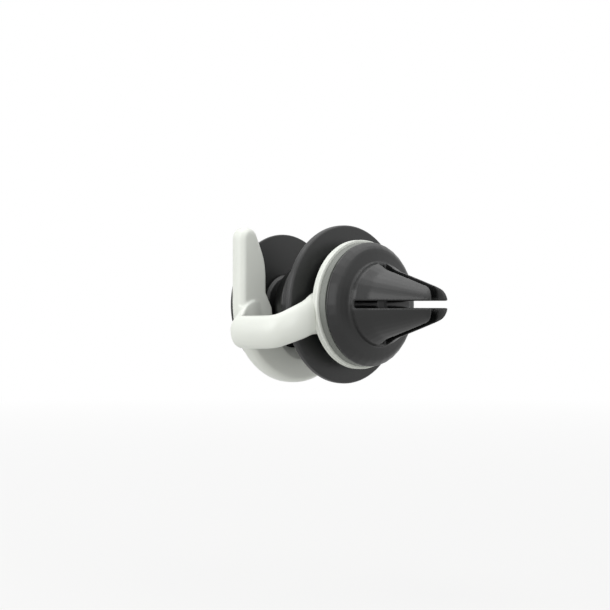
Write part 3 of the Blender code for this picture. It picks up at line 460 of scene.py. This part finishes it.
def make_camera():
    """The photograph's own view of the holder, level and from the jaws' side."""
    data = bpy.data.cameras.new("camera")
    data.sensor_width = SENSOR
    data.lens = FOCAL_PIXELS / FRAME_PIXELS * SENSOR
    data.clip_start = CAMERA_NEAR
    data.clip_end = CAMERA_FAR
    camera = bpy.data.objects.new("camera", data)
    camera.location = CAMERA_PLACE
    camera.rotation_euler = (math.radians(CAMERA_PITCH), 0, math.radians(CAMERA_TURN))
    bpy.context.scene.collection.objects.link(camera)
    bpy.context.scene.camera = camera


def make_floor(height):
    """A plain floor far enough below the object for a soft shadow."""
    deselect_all()
    bpy.ops.mesh.primitive_plane_add(size=FLOOR_SIZE, location=(0, 0, height))
    floor = bpy.context.object
    floor.name = "floor"
    settle(floor)
    floor.data.materials.append(studio_white("white_studio_floor"))


def make_world():
    """Soft room light from all round, and a white background behind the object."""
    world = bpy.data.worlds.new("studio")
    bpy.context.scene.world = world
    world.use_nodes = True
    tree = world.node_tree
    tree.nodes.clear()
    seen = seen_directly(tree).outputs[0]
    room = add_node(tree, "ShaderNodeBackground", {"Color": WHITE, "Strength": ROOM_STRENGTH}).outputs[0]
    white = add_node(tree, "ShaderNodeBackground", {"Color": WHITE, "Strength": 1.0}).outputs[0]
    mix = add_node(tree, "ShaderNodeMixShader", {}, {0: seen, 1: room, 2: white})
    add_node(tree, "ShaderNodeOutputWorld", {}, {"Surface": mix.outputs[0]})


def make_lamps():
    """Square soft lamps, each turned to the object."""
    for name, azimuth, elevation, power in LAMPS:
        data = bpy.data.lights.new(name, "AREA")
        data.size = LAMP_SIZE
        data.energy = power
        lamp = bpy.data.objects.new(name, data)
        turn = math.radians(azimuth)
        rise = math.radians(elevation)
        side = Vector((math.sin(turn) * math.cos(rise), -math.cos(turn) * math.cos(rise), math.sin(rise)))
        lamp.location = side * LAMP_DISTANCE
        lamp.rotation_euler = side.to_track_quat("Z", "Y").to_euler()
        bpy.context.scene.collection.objects.link(lamp)


# Bracket


def flowing(stations):
    """Stations on a smooth line through these, with places, heights and thicknesses all eased."""
    rows = np.array(stations)
    last = len(rows) - 1
    line = []
    for i in range(last):
        before, start, end, after = (rows[k] for k in (max(i - 1, 0), i, i + 1, min(i + 2, last)))
        for step in range(ARM_SPAN_STEPS):
            t = step / ARM_SPAN_STEPS
            bend = 2 * before - 5 * start + 4 * end - after
            twist = 3 * start - before - 3 * end + after
            curve = (end - before) * t + bend * t**2 + twist * t**3
            line.append(start + curve / 2)
    line.append(rows[last])
    return line


def arm_stations(face_y, disc_rear, head_y):
    """The arm's stations from the plate round the bend to the head: place, height and thickness."""
    x, z, height, thickness = ARM_START
    stations = [(x, face_y + ARM_START_DEPTH, z, height, thickness)]
    for degrees, top, bottom, thickness in ARM_BEND:
        turn = math.radians(degrees)
        x = -BEND_X - (ARM_X - BEND_X) * math.sin(turn)
        y = face_y - BEND_DEPTH + (BEND_DEPTH + ARM_ROOT_DEPTH) * math.cos(turn)
        stations.append((x, y, (top + bottom) / 2, top - bottom, thickness))
    x, z, height, thickness = ARM_SIDE
    stations.append((x, (face_y + disc_rear) / 2 - ARM_SIDE_FORWARD, z, height, thickness))
    x, z, height, thickness = ARM_AT_DISC
    stations.append((x, disc_rear, z, height, thickness))
    for x, behind, z, height, thickness in ARM_TO_HEAD:
        stations.append((x, head_y + behind, z, height, thickness))
    return stations


def pick_points(obj, wanted):
    """Selects the points whose place is wanted, and goes back to edit mode."""
    edit(obj)
    bpy.ops.mesh.select_all(action="DESELECT")
    bpy.ops.object.mode_set(mode="OBJECT")
    for vert in obj.data.vertices:
        vert.select = wanted(vert.co)
    edit(obj)


def make_arm(stations):
    """The arm as a strap extruded ring by ring, with its outer side full and its inner side flatter.

    The first ring is two metres across, and each station brings the ring to its own size. Without a
    window, transform.rotate turns the other way, so its signs are reversed.
    """
    line = flowing(stations)
    deselect_all()
    bpy.ops.mesh.primitive_circle_add(
        vertices=ARM_POINTS, radius=FIRST_RING_RADIUS, fill_type="NGON", rotation=(math.pi / 2, 0, 0))
    arm = bpy.context.object
    arm.name = "arm"
    settle(arm)
    pick_points(arm, lambda place: place.x > MM)
    bpy.ops.transform.resize(value=(2 * ARM_CROWN, 1, 1), center_override=(0, 0, 0))
    pick_points(arm, lambda place: place.x < -MM)
    bpy.ops.transform.resize(value=(2 - 2 * ARM_CROWN, 1, 1), center_override=(0, 0, 0))
    bpy.ops.mesh.select_all(action="SELECT")
    bpy.ops.transform.translate(value=(1 - 2 * ARM_CROWN, 0, 0))
    centre = Vector((0, 0, 0))
    heading = 0.0
    height = 2 * FIRST_RING_RADIUS
    thickness = 2 * FIRST_RING_RADIUS
    for i, station in enumerate(line):
        ahead = line[min(i + 1, len(line) - 1)]
        behind = line[max(i - 1, 0)]
        new_heading = math.atan2(ahead[1] - behind[1], ahead[0] - behind[0]) - math.pi / 2
        if i:
            bpy.ops.mesh.extrude_region_move()
        bpy.ops.transform.rotate(value=heading, orient_axis="Z", center_override=centre)
        growth = (station[4] / thickness, 1, station[3] / height)
        bpy.ops.transform.resize(value=growth, center_override=centre)
        bpy.ops.transform.rotate(value=-new_heading, orient_axis="Z", center_override=centre)
        bpy.ops.transform.translate(value=Vector(station[:3]) - centre)
        centre = Vector(station[:3])
        heading = new_heading
        height = station[3]
        thickness = station[4]
    bpy.ops.mesh.select_all(action="SELECT")
    bpy.ops.mesh.normals_make_consistent(inside=False)
    bpy.ops.object.mode_set(mode="OBJECT")
    modify(arm, "SUBSURF", levels=1, render_levels=1)
    return arm


def cut_off(obj, place, normal):
    """Cuts away what lies beyond a plane, on the side that its normal points to, and closes the cut."""
    edit(obj)
    bpy.ops.mesh.select_all(action="SELECT")
    bpy.ops.mesh.bisect(plane_co=place, plane_no=normal, use_fill=True, clear_outer=True)
    bpy.ops.object.mode_set(mode="OBJECT")


def make_plate(face_y):
    """The cradle's U alone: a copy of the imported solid, with the arm cut off at its face and its side."""
    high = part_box("cradle_bracket")[1]
    plate = copy_of_solid("cradle_bracket", "bracket_moulding")
    cut_off(plate, (0, face_y + CUT_SLACK, 0), (0, -1, 0))
    edge = high.x + EDGE_SLACK
    cut_off(plate, (-edge, 0, 0), (-1, 0, 0))
    ring = turned("ring", [
        (edge, high.y + MM),
        (2 * edge, high.y + MM),
        (2 * edge, face_y - MM),
        (edge, face_y - MM),
    ], closed=True)
    cut_off(ring, (0, 0, 0), (0, 0, 1))
    combine(plate, ring, "DIFFERENCE")
    return plate


def make_head(cup_rear, flange_front, head_front, ledge, recess_radius):
    """The head's cup, grooved flange and tube in one spin, hollow for the swivel."""
    cup_radius = recess_radius + HEAD_CUP_WALL
    flange_radius = cup_radius + HEAD_FLANGE_LIP
    tube_radius = HEAD_CAVITY_RADIUS + HEAD_TUBE_WALL
    flange_rear = flange_front + HEAD_FLANGE
    groove_y = flange_front + HEAD_GROOVE_SHARE * HEAD_FLANGE
    return turned("head", [
        (recess_radius, cup_rear, CUP_MOUTH_EDGE),
        (cup_radius, cup_rear, CUP_EDGE),
        (cup_radius, flange_rear, FLANGE_ROOT),
        (flange_radius, flange_rear, FLANGE_REAR_EDGE),
        (flange_radius, groove_y + HEAD_GROOVE, GROOVE_EDGE),
        (flange_radius - HEAD_GROOVE, groove_y, GROOVE_EDGE),
        (flange_radius, groove_y - HEAD_GROOVE, GROOVE_EDGE),
        (flange_radius, flange_front, FLANGE_FRONT_EDGE),
        (tube_radius, flange_front),
        (tube_radius, head_front, TUBE_EDGE),
        (HEAD_WEB_HOLE, head_front, WEB_EDGE),
        (HEAD_WEB_HOLE, head_front + HEAD_WEB),
        (HEAD_CAVITY_RADIUS, head_front + HEAD_WEB),
        (HEAD_CAVITY_RADIUS, ledge),
        (recess_radius, ledge),
    ], closed=True)


def make_bracket():
    """Cradle, arm and head in one moulding, with the fillets that the solid leaves out."""
    low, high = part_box("cradle_bracket")
    cover_low, cover_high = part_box("bracket_back_cover")
    recess_radius = cover_high.x + FIT
    flange_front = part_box("swivel_bush")[1].y + FIT
    face_y = high.y - CRADLE_THICKNESS
    body = make_plate(face_y)
    head_y = flange_front + HEAD_FLANGE + ARM_HEAD_STEP
    arm = make_arm(arm_stations(face_y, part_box("top_disc")[1].y, head_y))
    hollow = turned("hollow", [
        (0, high.y),
        (recess_radius + ARM_HOLLOW_MARGIN, high.y),
        (recess_radius + ARM_HOLLOW_MARGIN, low.y),
        (0, low.y),
    ])
    combine(arm, hollow, "DIFFERENCE")
    combine(body, arm, "UNION")
    soften(body, BRACKET_SOFTENING)
    combine(body, make_head(cover_high.y, flange_front, low.y, cover_low.y - FIT, recess_radius), "UNION")
    smooth(body, BRACKET_SMOOTH_ANGLE)
    dress(body, PALE, "bracket", "pale_plastic", "cradle_bracket")


def make_back_cover():
    """The thin cover behind the head, with its shallow dish."""
    low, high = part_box("bracket_back_cover")
    cover = turned("back_cover_moulding", [
        (0, high.y - COVER_DISH),
        (high.x - COVER_RIM, high.y - COVER_DISH, COVER_DISH_EDGE),
        (high.x - COVER_RIM_TOP, high.y, COVER_DISH_EDGE),
        (high.x, high.y, COVER_EDGE),
        (high.x, low.y, COVER_EDGE / 2),
        (0, low.y),
    ])
    dress(cover, PALE, "bracket", "pale_plastic", "bracket_back_cover")


def make_bush():
    """The grey band between the head and the clip."""
    low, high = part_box("swivel_bush")
    bore = HEAD_CAVITY_RADIUS + HEAD_TUBE_WALL + FIT
    bush = turned("swivel_bush_moulding", [
        (high.x, high.y, BUSH_EDGE),
        (high.x - BUSH_TAPER, low.y, BUSH_EDGE),
        (bore, low.y),
        (bore, high.y),
    ], closed=True)
    dress(bush, GREY, "bracket", "grey_plastic", "swivel_bush")


# Clip


def make_clip_boot():
    """The rubber boot and its four jaws, with every edge rounded as rubber leaves the mould."""
    boot = copy_of_solid("clip_boot", "boot_moulding")
    soften(boot, BOOT_SOFTENING)
    smooth(boot, BOOT_SMOOTH_ANGLE)
    dress(boot, RUBBER, "clip", "rubber", "clip_boot")


# Grip


def make_top_disc():
    """The grip's top, with the socket for its hub behind."""
    low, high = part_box("top_disc")
    hub_low, hub_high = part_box("top_hub")
    socket = hub_high.x + FIT
    disc = turned("top_disc_moulding", [
        (0, hub_low.y - FIT),
        (socket, hub_low.y - FIT),
        (socket, high.y, SOCKET_EDGE),
        (high.x, high.y, DISC_EDGE),
        (high.x, low.y, DISC_EDGE),
        (0, low.y),
    ])
    dress(disc, DISC_PLASTIC, "grip_top", "black_plastic", "top_disc")


def make_top_clamp():
    """The button that holds the bellows' mouth. Its head leaves room for the flattened folds."""
    low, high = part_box("top_clamp")
    clamp = turned("top_clamp_moulding", [
        (0, high.y),
        (CLAMP_RADIUS, high.y, CLAMP_EDGE),
        (CLAMP_RADIUS, high.y - CLAMP_THICKNESS, CLAMP_UNDER_EDGE),
        (CLAMP_NECK_RADIUS, high.y - CLAMP_THICKNESS),
        (CLAMP_NECK_RADIUS, low.y),
        (0, low.y),
    ])
    dress(clamp, NYLON, "grip_top", "nylon", "top_clamp")


def make_base_disc():
    """The grip's base, a bored disc with a low seat for the bellows' foot."""
    low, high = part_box("base_disc")
    disc = turned("base_disc_moulding", [
        (BASE_BORE_RADIUS, high.y),
        (high.x, high.y, BASE_EDGE),
        (high.x, low.y + BASE_SEAT_STEP, BASE_EDGE),
        (BASE_SEAT_RADIUS, low.y),
        (BASE_BORE_RADIUS, low.y),
    ], closed=True)
    dress(disc, DISC_PLASTIC, "grip_base", "black_plastic", "base_disc")


def make_adhesive_pad():
    """The foam pad that sticks the grip to its phone."""
    low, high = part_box("adhesive_pad")
    pad = turned("adhesive_pad_foam", [
        (0, high.y),
        (high.x, high.y, PAD_EDGE),
        (high.x, low.y, PAD_EDGE),
        (0, low.y),
    ])
    dress(pad, FOAM, "grip_base", "adhesive_foam", "adhesive_pad")


def make_bellows():
    """The folding elastomer cone, cut just in front of the cradle's face into its folds and its foot
    behind.
    """
    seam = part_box("cradle_bracket")[1].y - CRADLE_THICKNESS - BELLOWS_SEAM_GAP
    folds = copy_of_solid("bellows", "bellows_folds")
    soften(folds, BELLOWS_SOFTENING)
    pick(folds)
    bpy.ops.object.duplicate()
    foot = bpy.context.object
    foot.name = "bellows_foot"
    foot.data.name = "bellows_foot"
    cut_off(folds, (0, seam, 0), (0, 1, 0))
    cut_off(foot, (0, seam, 0), (0, -1, 0))
    smooth(folds, BELLOWS_SMOOTH_ANGLE)
    smooth(foot, BELLOWS_SMOOTH_ANGLE)
    dress(folds, ELASTOMER, "grip_base", "elastomer", "bellows")
    dress(foot, ELASTOMER, "grip_base", "elastomer")
    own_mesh(folds)


def finish_inner_pieces():
    """The small pieces inside keep their solids and get their materials. Some show through the gaps."""
    materials = {
        "clip_core": NYLON,
        "friction_washer": NYLON,
        "foot_clamp": NYLON,
        "top_hub": NYLON,
        "flat_washer": STEEL,
        "wave_spring": STEEL,
        "swivel_screw": STEEL,
    }
    for node, material in materials.items():
        mesh = frame["nodes"][node].data
        mesh.materials.clear()
        mesh.materials.append(material)


bpy.ops.object.select_all(action="DESELECT")
for start_object in list(bpy.data.objects):
    bpy.data.objects.remove(start_object)
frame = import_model()
cad_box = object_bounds()
deselect_all()
bpy.context.scene.view_settings.view_transform = "Standard"

# A pale, faintly green-grey gloss, almost even, with soft highlights along the arm
PALE = moulded("gloss_moulded_abs", "#E0E3DC", "#DBDED7", 0.3, 0.4 * MM, 0.08)

# A duller mid grey, which sets the band off from the pale head
GREY = moulded("grey_moulded_acetal", "#747772", "#6C6F69", 0.5, 0.3 * MM, 0.2)

# Near black, with a broad satin shine on the jaws and a fine grain
RUBBER = moulded("moulded_thermoplastic_rubber", "#0C0D0D", "#0A0B0B", 0.36, 0.22 * MM, 0.12)

# A slightly lighter and duller black on the two discs
DISC_PLASTIC = moulded("matt_moulded_polycarbonate", "#151616", "#121313", 0.42, 0.25 * MM, 0.15)

# A deep, smooth black on the folds, with a thin shine on their rims
ELASTOMER = moulded("moulded_polyurethane", "#0E0F0F", "#0C0D0D", 0.36, 0.25 * MM, 0.12)

# Dark grey, so that the pieces inside can be told from the rubber round them
NYLON = moulded("black_nylon", "#3A3B3C", "#353637", 0.5, 0.3 * MM, 0.2)

# Dead matt and coarse, as the cut edge of a foam pad
FOAM = moulded("adhesive_foam", "#232424", "#1D1E1E", 0.9, 0.35 * MM, 0.8)

# A bright, cool metal on the screw, the spring and the washer
STEEL = plated_steel()

make_camera()
make_world()
make_lamps()
make_floor(cad_box[0].z - FLOOR_DROP)
make_bracket()
make_back_cover()
make_bush()
make_clip_boot()
make_top_disc()
make_top_clamp()
make_base_disc()
make_adhesive_pad()
make_bellows()
finish_inner_pieces()
